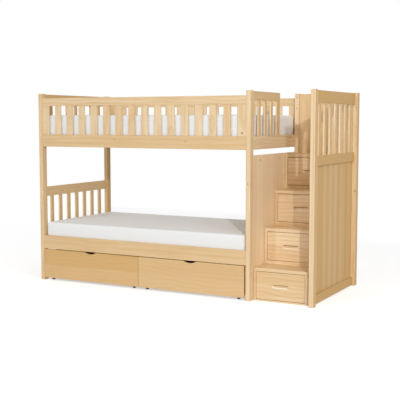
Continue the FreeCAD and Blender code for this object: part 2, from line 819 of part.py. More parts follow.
def rolling_box(side, x):
    """A storage box on four wheels: front with a finger notch, box, forks and wheels."""
    name = f"storage_box_{side}"
    y = front_rail_y
    front = board(name + "_front",
                  (rolling_width, s.rolling_front_thick, rolling_front_height),
                  (x, y, s.rolling_front_level))
    rise = rolling_front_height + notch_radius - s.notch_depth
    drill(front, "XZ_Plane", name + "_notch", [(rolling_width / 2, rise)], 2 * notch_radius,
          s.rolling_front_thick)
    keep(front, name + "_front")

    box_x = x + s.rolling_side_inset
    box_width = rolling_width - 2 * s.rolling_side_inset
    box_y = y + s.rolling_front_thick
    depth = rolling_depth - s.rolling_front_thick
    inside = box_width - 2 * s.rolling_side_thick
    side_size = (s.rolling_side_thick, depth, rolling_side_height)
    between = box_x + s.rolling_side_thick
    group(name + "_body", [
        board(name + "_left_side", side_size, (box_x, box_y, s.rolling_side_level)),
        board(name + "_right_side", side_size,
              (box_x + box_width - s.rolling_side_thick, box_y, s.rolling_side_level)),
        board(name + "_back", (inside, s.rolling_side_thick, rolling_side_height),
              (between, box_y + depth - s.rolling_side_thick, s.rolling_side_level)),
        board(name + "_base", (inside, depth - s.rolling_side_thick, s.rolling_base_thick),
              (between, box_y, rolling_base_level)),
    ])
    near, far = wheel_corners(x, y)
    forks = []
    for number, (wheel_x, wheel_y) in enumerate(near + far, start=1):
        forks.extend(wheel_fork(f"{name}_fork_{number}", wheel_x, wheel_y))
    group(name + "_wheel_forks", forks)
    for end, places in (("front", near), ("back", far)):
        group(f"{name}_{end}_wheels", [
            wheel(f"{name}_{end}_wheel_{number}", wheel_x, wheel_y)
            for number, (wheel_x, wheel_y) in enumerate(places, start=1)
        ])


rolling_left = bay_left + s.rolling_left_gap
rolling_box("left", rolling_left)
rolling_box("right", rolling_left + rolling_width + s.rolling_middle_gap)


# ---------------------------------------------------------------- bolts, barrel nuts and screws

def headed_pin(label, head, shank, start, axis):
    """A bolt or screw: a head and a shank, each (diameter, length), from a point along X."""
    x, y, z = start
    head_end = x + head[1] * axis.x
    return fuse(label, [
        rod(label + "_head", *head, start, axis),
        rod(label + "_shank", *shank, (head_end, y, z), axis),
    ])


def barrel_nut(label, x, rail_y, z, at_front):
    """A cross nut in a rail, with the hole that its bolt passes through."""
    shift = s.side_rail_thick - nut_depth if at_front else nut_depth - s.nut_length
    barrel = rod(label + "_barrel", s.nut_diameter, s.nut_length,
                 (x, rail_y + shift + s.nut_length, z), Vector(0, -1, 0))
    bore = rod(label + "_bore", s.bolt_diameter + s.nut_bore_play, 2 * s.nut_diameter,
               (x - s.nut_diameter, rail_y + s.side_rail_thick / 2, z), along_bed)
    return cut(label, barrel, bore)


bolt_head = (s.bolt_head_diameter, s.bolt_head_height)
bolt_shank = (s.bolt_diameter, s.post_width - s.bolt_head_sink + s.bolt_reach)
head_start = s.bolt_head_sink - s.bolt_head_height
bolts = []
nuts = []
for side, rail_y in (("front", front_rail_y), ("back", back_rail_y)):
    middle = rail_y + s.side_rail_thick / 2
    for number, level in enumerate(bolt_levels, start=1):
        name = f"{side}_bolt_{number}"
        bolts.append(headed_pin(name + "_left", bolt_head, bolt_shank,
                                (left_face + head_start, middle, level), along_bed))
        bolts.append(headed_pin(name + "_right", bolt_head, bolt_shank,
                                (stair_left - head_start, middle, level), -along_bed))
        for end, nut_x in (("left", bay_left + s.nut_setback), ("right", bay_right - s.nut_setback)):
            nuts.append(barrel_nut(f"{side}_nut_{number}_{end}", nut_x, rail_y, level, side == "front"))
group("rail_bolts", bolts)
group("barrel_nuts", nuts)

screw_head = (s.screw_head_diameter, s.screw_head_height)
screw_shank = (s.screw_diameter, s.screw_length - s.screw_head_height)
screw_x = stair_left - s.screw_sink + s.screw_head_height
group("panel_screws", [
    headed_pin(f"panel_screw_{number}", screw_head, screw_shank,
               (screw_x, end_front + across, s.panel_foot + up), -along_bed)
    for number, (across, up) in enumerate(screw_places, start=1)
])


# ---------------------------------------------------------------- checks and files

doc.recompute()
for item in doc.Objects:
    if "Invalid" in item.State or "Error" in item.State:
        raise RuntimeError(f"{item.Label} failed: {item.State}")

os.makedirs("parts", exist_ok=True)
for item in subparts:
    shape = item.Shape
    if shape.isNull() or not shape.isValid() or not shape.Solids:
        raise RuntimeError(item.Label + " has no sound shape")
    shape.exportStep(os.path.join("parts", item.Label + ".step"))
box = Part.makeCompound([item.Shape for item in subparts]).BoundBox
print(len(subparts), "sub-parts,", sum(len(item.Shape.Solids) for item in subparts), "solids")
print("box", [round(v, 2) for v in (box.XMin, box.XMax, box.YMin, box.YMax, box.ZMin, box.ZMax)])
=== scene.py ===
# %% [markdown]
# A pine bunk bed with a box staircase.
#
# The bed's boards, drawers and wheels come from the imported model, which is loaded first and stays
# as it is. This lesson gives every board its own piece of pine, makes the two mattresses, and
# sets up the floor, the lamps and the camera.

# %% Load the bed
from math import cos, radians, sin

import bpy
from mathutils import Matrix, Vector


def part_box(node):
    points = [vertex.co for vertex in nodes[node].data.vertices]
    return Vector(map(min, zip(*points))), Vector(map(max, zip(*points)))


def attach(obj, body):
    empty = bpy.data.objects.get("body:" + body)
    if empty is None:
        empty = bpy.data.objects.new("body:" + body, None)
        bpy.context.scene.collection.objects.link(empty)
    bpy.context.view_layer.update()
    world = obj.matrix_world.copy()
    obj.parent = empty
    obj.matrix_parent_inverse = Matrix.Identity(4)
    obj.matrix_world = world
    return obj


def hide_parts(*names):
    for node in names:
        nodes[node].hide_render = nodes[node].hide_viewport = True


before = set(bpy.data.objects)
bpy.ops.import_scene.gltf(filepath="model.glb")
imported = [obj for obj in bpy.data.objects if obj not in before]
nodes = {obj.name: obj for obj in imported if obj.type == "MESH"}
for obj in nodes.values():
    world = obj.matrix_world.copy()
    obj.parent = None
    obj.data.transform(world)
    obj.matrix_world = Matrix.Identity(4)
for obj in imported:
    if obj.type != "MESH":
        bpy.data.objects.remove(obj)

AXES = "XYZ"

scene = bpy.context.scene
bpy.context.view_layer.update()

# %% [markdown]
# Shader maths reads best as plain arithmetic. A small class wraps one socket of a finish, so that
# `ring * 0.5 + streak` adds the Math nodes by itself, and one method adds every other node.

# %% A finish's recipe
class Value:
    """Something that varies over a surface; arithmetic on it adds Math nodes."""

    def __init__(self, recipe, socket):
        self.recipe = recipe
        self.socket = socket

    def maths(self, operation, *others):
        sockets = dict(enumerate((self, *others)))
        return self.recipe.node("Math", {"operation": operation}, sockets)

    def __add__(self, other):
        return self.maths("ADD", other)

    def __sub__(self, other):
        return self.maths("SUBTRACT", other)

    def __mul__(self, other):
        return self.maths("MULTIPLY", other)

    def __truediv__(self, other):
        return self.maths("DIVIDE", other)

    def __rsub__(self, other):
        return self * -1 + other

    __radd__ = __add__
    __rmul__ = __mul__

    def ramp(self, low, high):
        """0 below low, 1 above high, and smooth between them."""
        sockets = {"Value": self, "From Min": low, "From Max": high}
        return self.recipe.node("MapRange", {"interpolation_type": "SMOOTHSTEP"}, sockets)


class Recipe:
    """The nodes of one finish."""

    def __init__(self, tree):
        self.tree = tree

    def node(self, kind, settings=None, sockets=None, output=0):
        """Add a node: first its settings, then what its sockets hold. Gives one of its outputs."""
        node = self.tree.nodes.new("ShaderNode" + kind)
        for name, setting in (settings or {}).items():
            setattr(node, name, setting)
        for name, given in (sockets or {}).items():
            self.fill(node.inputs[name], given)
        return Value(self, node.outputs[output])

    def fill(self, socket, given):
        """Link a socket to a varying value, or set it to a fixed one."""
        if isinstance(given, Value):
            self.tree.links.new(given.socket, socket)
        else:
            socket.default_value = given

    def mix(self, amount, first, second):
        """A blend of two colours."""
        return self.node("Mix", {"data_type": "RGBA"}, {0: amount, 6: first, 7: second}, 2)

    def noise(self, place, scale, detail=2.0):
        """Soft noise from 0 to 1 at a place."""
        return self.node("TexNoise", None, {"Vector": place, "Scale": scale, "Detail": detail})

    def point(self, along, across, deep):
        """A place from three values."""
        return self.node("CombineXYZ", None, {"X": along, "Y": across, "Z": deep})

    def here(self):
        """The place of the point that is being shaded."""
        return self.node("TexCoord", None, None, "Object")

    def part(self, place, axis):
        """How far a place lies along one axis."""
        return self.node("SeparateXYZ", None, {"Vector": place}, axis)


def new_finish(name, **fixed):
    """A finish, its recipe and its shader, with the numbers that are the same all over."""
    finish = bpy.data.materials.new(name)
    finish.use_nodes = True
    shader = finish.node_tree.nodes["Principled BSDF"]
    for socket, number in fixed.items():
        shader.inputs[socket.replace("_", " ")].default_value = number
    return finish, Recipe(finish.node_tree), shader


def colour(red, green, blue):
    """A colour with its alpha."""
    return (red, green, blue, 1.0)


# %% [markdown]
# ## Pine
#
# The whole bed is clear-lacquered pine: cream sapwood, thin honey-brown lines of latewood that
# draw long arches on each board, broader bands, and now and then a knot. A picture of wood would
# repeat and would run on from one board to the next. So the pattern is worked out in space: each
# board is thought of as cut from its own log, and the distance from that log's pith gives the
# rings. Wide panels are glued up from staves, which count as boards too.

# %% The colours of pine
SAPWOOD = colour(0.915, 0.75, 0.525)
HONEY = colour(0.63, 0.375, 0.12)
LATEWOOD = colour(0.60, 0.35, 0.12)
KNOT = colour(0.16, 0.07, 0.025)
# painted light for the finger pulls: a highlight on the lower lip and shade along the upper edge
PAINTED_LIP_HIGHLIGHT = colour(0.95, 0.87, 0.73)
SHADED_WOOD = colour(0.45, 0.25, 0.09)

USUAL_TONE = 0.18        # how far an ordinary board is from sapwood towards honey
TONE_SPREAD = 0.26       # and how much further the deepest one is

# %% The logs, in metres
RING_WIDTH = 0.0062      # from one line of latewood to the next
BAND_WIDTH = 0.031       # years of slow and fast growth take turns over this width
PITH_DEPTH = 0.045       # how far a board's face lies from its log's pith, at least
DEPTH_SPREAD = 0.09      # and how much that differs between boards
ASIDE_SPREAD = 0.11      # how much the pith's place to the side differs between boards
LOG_LENGTH = 7.0         # boards come from anywhere along this much of a log
STREAK_WIDTH = 0.020     # breadth of the broad streaks along the grain

BENDS_PER_METRE = 1.9    # how fast a log's slow bends follow each other
BEND_ASIDE = 0.05        # how far they move the rings across a board
BEND_DEEP = 0.11         # and into it
RIPPLE_DEEP = 0.010      # how far the finer ripples move them
FIBRES_PER_METRE = 700.0

# %% How the figure is drawn
# The noises are stretched: they change this much along the grain and this much across it.
RIPPLE_STRETCH = (3.5, 14.0)
PATCH_STRETCH = (0.8, 9.0)
BEND_ACROSS = 0.5
STREAK_ALONG = 0.05
FIBRE_ALONG = 0.03

# Shares of a ring's or band's width over which it darkens, and over which it ends.
RING_DARKENS, RING_ENDS = (0.35, 0.85), (0.90, 1.0)
BAND_DARKENS, BAND_ENDS = (0.25, 0.80), (0.82, 1.0)

# Levels of noise between which the streaks, and the patches of clear rings, set in.
STREAKS_SHOW = (0.36, 0.72)
RINGS_SHOW = (0.32, 0.66)

# How dark each part of the figure is.
RING_DARK, RING_DARK_IN_BAND, FAINTEST_RINGS = 0.12, 0.20, 0.2
BAND_DARK, STREAK_DARK, FIBRE_DARK = 0.17, 0.24, 0.06

# The lacquer, and how much fibres and latewood disturb it.
LACQUER_SPECULAR = 0.30
LACQUER_ROUGH, FIBRE_ROUGH, LATEWOOD_ROUGH = 0.40, 0.10, 0.05
GRAIN_BUMP = {"Strength": 0.35, "Distance": 0.0003}

# %% [markdown]
# Each board needs a middle to measure from and its own dice. Slats of one frame are one piece of
# the model, so a row of cells, one for each slat, tells them apart: the cell's number seeds the
# dice, and the place is counted from the cell's middle.

# %% Where a point lies in its board
ROW_SEEDS = {"X": 1, "Y": 2, "Z": 3}        # how far the next cell of a row moves the seed
SECOND_ROW_SEEDS = {"Y": 22, "Z": 39}       # and of a row that crosses the first
GRAIN_ORDER = {"x": ("X", "Y", "Z"), "y": ("Y", "X", "Z"), "z": ("Z", "X", "Y")}


def board_place(recipe, centre, cells, seed):
    """The point's place from its board's middle along X, Y and Z, and three random numbers.

    cells gives, per axis, where a row of boards starts and its pitch, in metres."""
    here = recipe.here()
    place = {}
    board = seed
    row_seeds = ROW_SEEDS
    for index, axis in enumerate(AXES):
        part = recipe.part(here, axis)
        if axis not in cells:
            place[axis] = part - centre[index]
            continue
        start, pitch = cells[axis]
        cell = (part - start) / pitch
        which = cell.maths("FLOOR")
        place[axis] = (cell - which - 0.5) * pitch
        board = which * row_seeds[axis] + board
        row_seeds = SECOND_ROW_SEEDS
    dice = recipe.node("TexWhiteNoise", {"noise_dimensions": "1D"}, {"W": board}, "Color")
    rolls = [recipe.node("SeparateColor", None, {"Color": dice}, name)
             for name in ("Red", "Green", "Blue")]
    return place, rolls


# %% [markdown]
# A finger pull is a long hollow that a router cuts into a drawer's front. The hollow itself is in
# the model. Its lower lip gets a painted highlight and its upper edge painted shade, for the light
# that falls into the hollow; both are painted by place, within the hollow's own box, so they stay
# with the drawer when it slides.

# %% The routed finger pulls
PULL_HALF_LENGTH = 0.068
PULL_HALF_HEIGHT = 0.0135
PULL_DEPTH = 0.0095
PULL_SOFT_EDGE = 0.001
PULL_BEGINS = (0.0003, 0.0008)      # how far behind the drawer's face
# the painted highlight below gives way to painted shade this far above the pull's middle
LIP_ENDS = (0.004, 0.006)           # how far above the pull's middle


def paint_pull_light_and_shade(recipe, wood, pull):
    """Painted highlight on a routed pull's lower lip and painted shade on its upper edge. pull is
    its place.
    """
    here = recipe.here()
    x, y, z = (recipe.part(here, axis) for axis in AXES)
    deep = y - pull.y
    above = z - pull.z
    inside = deep.ramp(*PULL_BEGINS) - deep.ramp(PULL_DEPTH, PULL_DEPTH + PULL_SOFT_EDGE)
    aside = (x - pull.x).maths("ABSOLUTE")
    along = 1 - aside.ramp(PULL_HALF_LENGTH, PULL_HALF_LENGTH + PULL_SOFT_EDGE)
    beside = 1 - above.maths("ABSOLUTE").ramp(PULL_HALF_HEIGHT, PULL_HALF_HEIGHT + PULL_SOFT_EDGE)
    # painted highlight on the lower lip, painted shade along the upper edge
    lip = recipe.mix(above.ramp(*LIP_ENDS), PAINTED_LIP_HIGHLIGHT, SHADED_WOOD)
    return recipe.mix(inside * along * beside, wood, lip)


# %% [markdown]
# Now the finish itself. Latewood darkens slowly across each year's ring and ends with a sharp
# line, which one ramp up and one steep ramp down give. The same pair of ramps makes the broad
# bands. A knot pushes the rings aside before they are drawn, so that they flow round it.

# %% The pine finish
KNOT_FADES = (0.4, 1.2)             # in radii of the knot
RINGS_SWIRL = (0.4, 4.5)
RINGS_PUSHED = 1.3
# painted shade on a board's sides that face along the bed sets in this far inside it
SIDE_SKIN = (0.0006, 0.0002)        # how far inside a board its side's deeper tone sets in


def knots_in(recipe, radius, knots):
    """The rings' radius, pushed aside round each knot, and a mask of the knots themselves."""
    mask = None
    for x, y, z, size, darkness in knots:
        distance = recipe.node("VectorMath", {"operation": "DISTANCE"},
                               {0: recipe.here(), 1: (x, y, z)}, "Value") / size
        swirl = 1 - distance.ramp(*RINGS_SWIRL)
        radius = radius + swirl * size * RINGS_PUSHED
        knot = (1 - distance.ramp(*KNOT_FADES)) * darkness
        mask = knot if mask is None else mask.maths("MAXIMUM", knot)
    return radius, mask


def pine(name, grain, centre, cells, seed, honey, side, figure, knots, pull):
    """Lacquered pine with its grain along one axis.

    honey is how much deeper than usual its tone is, partly the board's own tone and partly painted
    light and shade. side is half of the board's size along X, and how much painted shade darkens
    its sides that face along the bed. figure is how strongly the grain shows.
    knots are (x, y, z, radius, darkness), in metres. pull is the place of a finger pull."""
    finish, recipe, shader = new_finish(name, Specular_IOR_Level=LACQUER_SPECULAR)
    place, (roll_across, roll_deep, roll_tone) = board_place(recipe, centre, cells, seed)
    along, across, deep = (place[axis] for axis in GRAIN_ORDER[grain])

    # the log bends a little along its length, which draws arches on a flat-sawn face
    far = along + roll_tone * LOG_LENGTH
    bend_place = recipe.point(far, across * BEND_ACROSS, deep * BEND_ACROSS)
    bend = recipe.noise(bend_place, BENDS_PER_METRE, 1.0) - 0.5
    slow, quick = RIPPLE_STRETCH
    ripple = recipe.noise(recipe.point(far * slow, across * quick, deep * quick), 2.0) - 0.5
    from_pith_across = across + (roll_across - 0.5) * ASIDE_SPREAD + bend * BEND_ASIDE
    from_pith_deep = (deep + roll_deep * DEPTH_SPREAD + PITH_DEPTH
                      + bend * BEND_DEEP + ripple * RIPPLE_DEEP)
    radius = (from_pith_across * from_pith_across
              + from_pith_deep * from_pith_deep).maths("SQRT")
    radius, knot_mask = knots_in(recipe, radius, knots)

    # thin rings, broad bands, streaks and fibres
    ring = (radius / RING_WIDTH).maths("FRACT")
    latewood = ring.ramp(*RING_DARKENS) - ring.ramp(*RING_ENDS)
    turn = (radius / BAND_WIDTH + roll_across * 5.0).maths("FRACT")
    band = turn.ramp(*BAND_DARKENS) - turn.ramp(*BAND_ENDS)
    streak_place = recipe.point(far * STREAK_ALONG, across, deep + roll_across * 3.0)
    streak = recipe.noise(streak_place, 1 / STREAK_WIDTH, 3.0).ramp(*STREAKS_SHOW)
    fibre = recipe.noise(recipe.point(far * FIBRE_ALONG, across, deep), FIBRES_PER_METRE, 1.0)

    # the board's own tone, with the grain over it
    tone = roll_tone * TONE_SPREAD + (USUAL_TONE + honey)
    # painted shade: the sides that face along the bed get a deeper tone
    half, deeper = side
    if deeper > 0:
        outermost = place["X"].maths("ABSOLUTE").ramp(*(half - skin for skin in SIDE_SKIN))
        tone = tone + outermost * deeper
    sap = recipe.mix(tone, SAPWOOD, HONEY)
    slow, quick = PATCH_STRETCH
    patches = recipe.noise(recipe.point(far * slow, across * quick, deep * quick), 1.6, 1.0)
    strength = patches.ramp(*RINGS_SHOW) * (1 - FAINTEST_RINGS) + FAINTEST_RINGS
    rings = latewood * (band * RING_DARK_IN_BAND + RING_DARK) * strength
    dark = rings + band * BAND_DARK + streak * STREAK_DARK + fibre * FIBRE_DARK
    wood = recipe.mix(dark * figure, sap, LATEWOOD)
    if knot_mask is not None:
        wood = recipe.mix(knot_mask, wood, KNOT)
    # painted highlight and shade inside the drawers' finger pulls
    if pull is not None:
        wood = paint_pull_light_and_shade(recipe, wood, pull)

    recipe.fill(shader.inputs["Base Color"], wood)
    recipe.fill(shader.inputs["Roughness"],
                LACQUER_ROUGH + fibre * FIBRE_ROUGH + latewood * LATEWOOD_ROUGH)
    bump = recipe.node("Bump", None, {**GRAIN_BUMP, "Height": fibre + latewood})
    recipe.fill(shader.inputs["Normal"], bump)
    return finish


# %% [markdown]
# ## Which way each board runs
#
# Rails run along their length, posts and slats upright, bed slats across the bed. The table says
# it for each group, with the row that its boards stand in: rows of slats are found from the
# node's own box, and wide panels are divided into staves.

# %% Rows of boards
END_SLATS, END_SLAT = 7, 0.042
GUARD_SLATS, GUARD_SLAT, GUARD_STILE = 14, 0.060, 0.070
ENTRY_SLATS, ENTRY_SLAT, ENTRY_STILE = 3, 0.042, 0.062
BED_SLATS, BED_SLAT = 14, 0.070
STAVE = 0.064            # of the upright panels
WIDE_STAVE = 0.118       # of the drawers' fronts
BOX_BOARD = 0.115        # of the drawers' and boxes' insides


def cells_of_row(node, axis, count, slat, margin=0.0):
    """Start and pitch of the cells round evenly spaced slats, between margins at both ends."""
    low, high = (corner[AXES.index(axis)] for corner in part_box(node))
    gap = (high - low - 2 * margin - count * slat) / (count + 1 if margin else count - 1)
    first = low + margin + gap if margin else low
    return {axis: (first - gap / 2, slat + gap)}


def staves(node, axis, width):
    """Cells of a panel that is glued up from staves, from its low edge."""
    return {axis: (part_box(node)[0][AXES.index(axis)], width)}


slat_rows = {}
for name in ("left_end_upper_slats", "headboard_slats", "right_end_slats"):
    slat_rows[name] = cells_of_row(name, "Y", END_SLATS, END_SLAT)
slat_rows["entry_guard_slats"] = cells_of_row("entry_guard_slats", "Y", ENTRY_SLATS, ENTRY_SLAT,
                                              ENTRY_STILE)
for name in ("front_guard_slats", "back_guard_slats"):
    slat_rows[name] = cells_of_row(name, "X", GUARD_SLATS, GUARD_SLAT, GUARD_STILE)
bed_rows = {name: cells_of_row(name, "X", BED_SLATS, BED_SLAT)
            for name in ("upper_bed_slats", "lower_bed_slats")}
print("guard slats stand", round(slat_rows["front_guard_slats"]["X"][1] * 1000), "mm apart")

# %% Cells that tell the steps and levels apart
STEP_RISE = 0.284
STEP_CELLS = {"Z": (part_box("stair_treads")[0].z - STEP_RISE / 2, STEP_RISE)}
BOX_BOTTOM = -0.027      # where the lowest stair box's cell begins
BOX_SIDE_CELLS = {"X": (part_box("stair_side_boards")[0].x - 0.1, 0.3),
                  "Z": (BOX_BOTTOM, STEP_RISE)}
CROSS_RAIL_CELLS = {"Z": (-0.1, 0.8)}                  # the lower rail and the upper one
CLEAT_CELLS = {"Y": (-1.0, 1.0), "Z": (0.0, 0.6)}      # front and back, lower and upper bed

# %% Grain and cells, node by node
upright = {name: {} for name in nodes if name.startswith("post_")}
upright.update(slat_rows)
upright["mid_panel"] = staves("mid_panel", "Y", STAVE)
upright["right_end_panel"] = staves("right_end_panel", "Y", STAVE)
upright["stair_back_panel"] = staves("stair_back_panel", "X", STAVE)
upright["stair_side_boards"] = BOX_SIDE_CELLS

lengthwise = {name: {} for name in nodes if name.endswith(("side_rail", "guard_top_rail"))}
lengthwise["ledger_cleats"] = CLEAT_CELLS
lengthwise["stair_treads"] = STEP_CELLS
lengthwise["stair_front_rails"] = STEP_CELLS
for name in nodes:
    if name.startswith(("stair_drawer", "storage_box")) and name.endswith("_front"):
        lengthwise[name] = staves(name, "Z", WIDE_STAVE)

crosswise = {name: {} for name in nodes
             if name.endswith(("end_top_rail", "end_mid_rail", "kick_rail"))}
crosswise.update({name: {} for name in ("headboard_top_rail", "mid_end_rail", "entry_guard_rail",
                                        "mid_panel_batten")})
crosswise["left_end_cross_rails"] = CROSS_RAIL_CELLS
crosswise["drawer_runners"] = STEP_CELLS
crosswise.update(bed_rows)
for name in nodes:
    if name.endswith("_box"):
        crosswise[name] = staves(name, "X", BOX_BOARD)
    elif name.endswith("_body"):
        lengthwise[name] = staves(name, "Y", BOX_BOARD)

# %% [markdown]
# Boards differ in tone. On this bed the right end and the left storage box are painted deeper,
# honey-coloured, and some panels paler; each board's tone is partly its own and partly painted
# light and shade, for parts that lie in more or less light. Some panels have hardly any figure, the
# sides that face along the bed get painted shade, and a few knots stand where the real bed shows
# them. Each of these choices has its own table, and a board that no table names is an ordinary one.

# %% Tables of the boards' looks
# deeper or paler tone per board: partly its own tone, partly painted light and shade
TONE_AND_PAINTED_LIGHT = {
    "right_end_top_rail": 0.55, "right_end_mid_rail": 0.55, "right_end_kick_rail": 0.42,
    "right_end_panel": 0.20, "right_end_slats": -0.05, "post_right_back": -0.05,
    "post_left_front": 0.15, "post_mid_front": 0.03, "post_right_front": -0.06,
    "mid_panel": -0.18, "entry_guard_rail": 0.05, "mid_end_rail": -0.06,
    "entry_guard_slats": -0.1, "front_guard_top_rail": 0.16, "back_guard_top_rail": 0.18,
    "back_guard_slats": 0.05, "upper_front_side_rail": 0.08, "lower_front_side_rail": 0.10,
    "left_end_top_rail": 0.15, "left_end_upper_slats": 0.05, "left_end_cross_rails": 0.05,
    "post_left_back": 0.15, "stair_back_panel": 0.14, "storage_box_left_front": 0.50,
    "storage_box_right_front": 0.27, "stair_drawer_4_front": 0.04, "stair_drawer_3_front": -0.08,
    "stair_drawer_2_front": -0.08, "stair_drawer_1_front": 0.08, "stair_side_boards": -0.05,
}
FIGURE = {
    "mid_panel": 0.35, "stair_back_panel": 0.8, "storage_box_left_front": 0.6,
    "storage_box_right_front": 0.6, "storage_box_left_body": 0.4, "storage_box_right_body": 0.4,
}
# painted shade on the sides that face along the bed, node by node
PAINTED_SIDE_SHADE = {
    "post_left_front": 0.1, "post_left_back": 0.3, "post_mid_front": 0.08, "post_mid_back": 0.2,
    "post_right_front": 0.5, "post_right_back": 0.5, "right_end_top_rail": 0.36,
    "right_end_slats": 0.4, "right_end_mid_rail": 0.36, "right_end_panel": 0.36,
    "right_end_kick_rail": 0.36, "entry_guard_rail": 0.3, "entry_guard_slats": 0.36,
    "left_end_top_rail": 0.36, "left_end_upper_slats": 0.36, "headboard_top_rail": 0.3,
    "headboard_slats": 0.36,
}
KNOTS = {
    "post_mid_front": [(0.722, -0.523, 0.905, 0.007, 0.6), (0.745, -0.49, 0.21, 0.007, 0.6)],
    "post_right_back": [(1.250, 0.466, 0.80, 0.009, 0.5)],
    "front_guard_slats": [(0.672, -0.519, 1.290, 0.010, 0.7)],
    "upper_front_side_rail": [(-0.48, -0.521, 1.232, 0.006, 0.5),
                              (0.18, -0.521, 1.225, 0.006, 0.5)],
    "headboard_top_rail": [(-1.243, -0.22, 0.76, 0.006, 0.6),
                           (-1.243, -0.13, 0.745, 0.005, 0.5)],
    "mid_end_rail": [(0.725, 0.345, 1.248, 0.011, 0.95)],
}

# %% Give each board its pine
SEED_STEP = 3

seed = 0
for grain, table in (("z", upright), ("x", lengthwise), ("y", crosswise)):
    for name, cells in table.items():
        seed += SEED_STEP
        low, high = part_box(name)
        middle = (low + high) / 2
        side = ((high.x - low.x) / 2, PAINTED_SIDE_SHADE.get(name, 0.0))
        pull = Vector((middle.x, low.y, middle.z)) if name.startswith("stair_drawer") else None
        finish = pine("pine_" + name, grain, middle, cells, float(seed), TONE_AND_PAINTED_LIGHT.get(name, 0.0),
                      side, FIGURE.get(name, 1.0), KNOTS.get(name, ()), pull)
        nodes[name].material_slots[0].material = finish
print(len(upright) + len(lengthwise) + len(crosswise), "pieces are of pine")

# %% [markdown]
# ## Metal and plastic
#
# Bolts, nuts and wheel forks are zinc-plated steel, the panel's screws are dark, and the wheels
# are black plastic. Each shows a fine unevenness in its gloss, so that it doesn't look like paint.

# %% Zinc, dark screws and black wheels
def speckled(name, dark, light, rough_low, rough_high, spot_size, bump_depth, **fixed):
    """A hard finish whose colour and gloss differ a little from spot to spot."""
    finish, recipe, shader = new_finish(name, **fixed)
    spots = recipe.noise(recipe.here(), 1 / spot_size, 4.0)
    recipe.fill(shader.inputs["Base Color"], recipe.mix(spots, dark, light))
    recipe.fill(shader.inputs["Roughness"], spots * (rough_high - rough_low) + rough_low)
    bump = recipe.node("Bump", None, {"Strength": 0.3, "Distance": bump_depth, "Height": spots})
    recipe.fill(shader.inputs["Normal"], bump)
    return finish


zinc = speckled("zinc_plate", colour(0.52, 0.52, 0.50), colour(0.70, 0.70, 0.67), 0.28, 0.48,
                0.0012, 0.00005, Metallic=1.0)
dark_screw = speckled("dark_screw", colour(0.03, 0.02, 0.015), colour(0.08, 0.06, 0.04), 0.35, 0.6,
                      0.0012, 0.00005, Metallic=0.6)
wheel_plastic = speckled("wheel_plastic", colour(0.018, 0.018, 0.018), colour(0.04, 0.04, 0.04),
                         0.45, 0.62, 0.0016, 0.0001)
for name in nodes:
    if name.endswith("_wheels"):
        nodes[name].material_slots[0].material = wheel_plastic
    elif name in ("rail_bolts", "barrel_nuts") or name.endswith("_forks"):
        nodes[name].material_slots[0].material = zinc
nodes["panel_screws"].material_slots[0].material = dark_screw
print(sum(name.endswith("_wheels") for name in nodes), "pairs of wheels are of black plastic")

# %% [markdown]
# ## Mattresses
#
# Each bed carries a plain white mattress: a firm slab whose knitted cover rounds its edges and
# swells very little. A block would look like plastic, so the slab is remeshed finely and blown up
# as cloth, with a cap of a few millimetres on how far the cover may move. Both beds take the
# same mattress, so it is made once and copied.

# %% Helpers for pieces that are modelled here
def alone(piece):
    """Select one piece only, and make it the active one."""
    bpy.ops.object.select_all(action="DESELECT")
    piece.select_set(True)
    bpy.context.view_layer.objects.active = piece


def keep_modifier(piece, kind, **settings):
    """Add a modifier, set it and apply it."""
    modifier = piece.modifiers.new(kind.title(), kind)
    for name, setting in settings.items():
        setattr(modifier, name, setting)
    alone(piece)
    bpy.ops.object.modifier_apply(modifier=modifier.name)


# %% [markdown]
# The slab starts as a cube at the mattress's size. Its four upright edges get a wide bevel, as a
# real mattress has round corners, and the rims of its top and bottom a narrower one. The edges
# are picked by their direction and by the faces that they join, never by their number.

# %% A slab with round corners
SLACK = 0.0035           # the slab starts this much inside the mattress's own space
CORNER_ROUND = 0.022
EDGE_ROUND = 0.012
EDGE_STEPS = 5
NEARLY_STRAIGHT = 0.99   # a direction's share along Z from which it counts as upright
NEARLY_FLAT = 0.01       # and up to which it counts as level
SAME_HEIGHT = 1e-6


def edge_is_on_rim(piece, edge):
    """Whether a flat edge lies between a slab's top or bottom and its side."""
    facing = [abs(face.normal.z) for face in piece.data.polygons
              if set(edge.vertices) <= set(face.vertices)]
    return max(facing) > NEARLY_STRAIGHT and min(facing) < NEARLY_FLAT


def round_edges(piece, upright_edges, width):
    """Bevel a slab's upright edges, or the rims of its top and bottom."""
    alone(piece)
    bpy.ops.object.mode_set(mode="EDIT")
    bpy.ops.mesh.select_mode(type="EDGE")
    bpy.ops.mesh.select_all(action="DESELECT")
    bpy.ops.object.mode_set(mode="OBJECT")
    points = piece.data.vertices
    for edge in piece.data.edges:
        first, second = (points[index].co for index in edge.vertices)
        if upright_edges:
            edge.select = abs((second - first).normalized().z) > NEARLY_STRAIGHT
        else:
            edge.select = abs(first.z - second.z) < SAME_HEIGHT and edge_is_on_rim(piece, edge)
    bpy.ops.object.mode_set(mode="EDIT")
    bpy.ops.mesh.bevel(offset=width, segments=EDGE_STEPS, profile=0.5)
    bpy.ops.object.mode_set(mode="OBJECT")


def mattress_slab(name, node):
    """A slab in the middle of a mattress's space, a little smaller than it."""
    low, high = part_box(node)
    bpy.ops.object.select_all(action="DESELECT")
    bpy.ops.mesh.primitive_cube_add(size=1.0, location=(low + high) / 2)
    slab = bpy.context.active_object
    slab.name = name
    bpy.ops.transform.resize(value=(high - low) - Vector((2 * SLACK,) * 3))
    bpy.ops.object.transform_apply(location=True, rotation=True, scale=True)
    round_edges(slab, True, CORNER_ROUND)
    round_edges(slab, False, EDGE_ROUND)
    return slab


lower_mattress = mattress_slab("lower_mattress_cover", "lower_mattress")
print("the slab has", len(lower_mattress.data.polygons), "faces before it is remeshed")

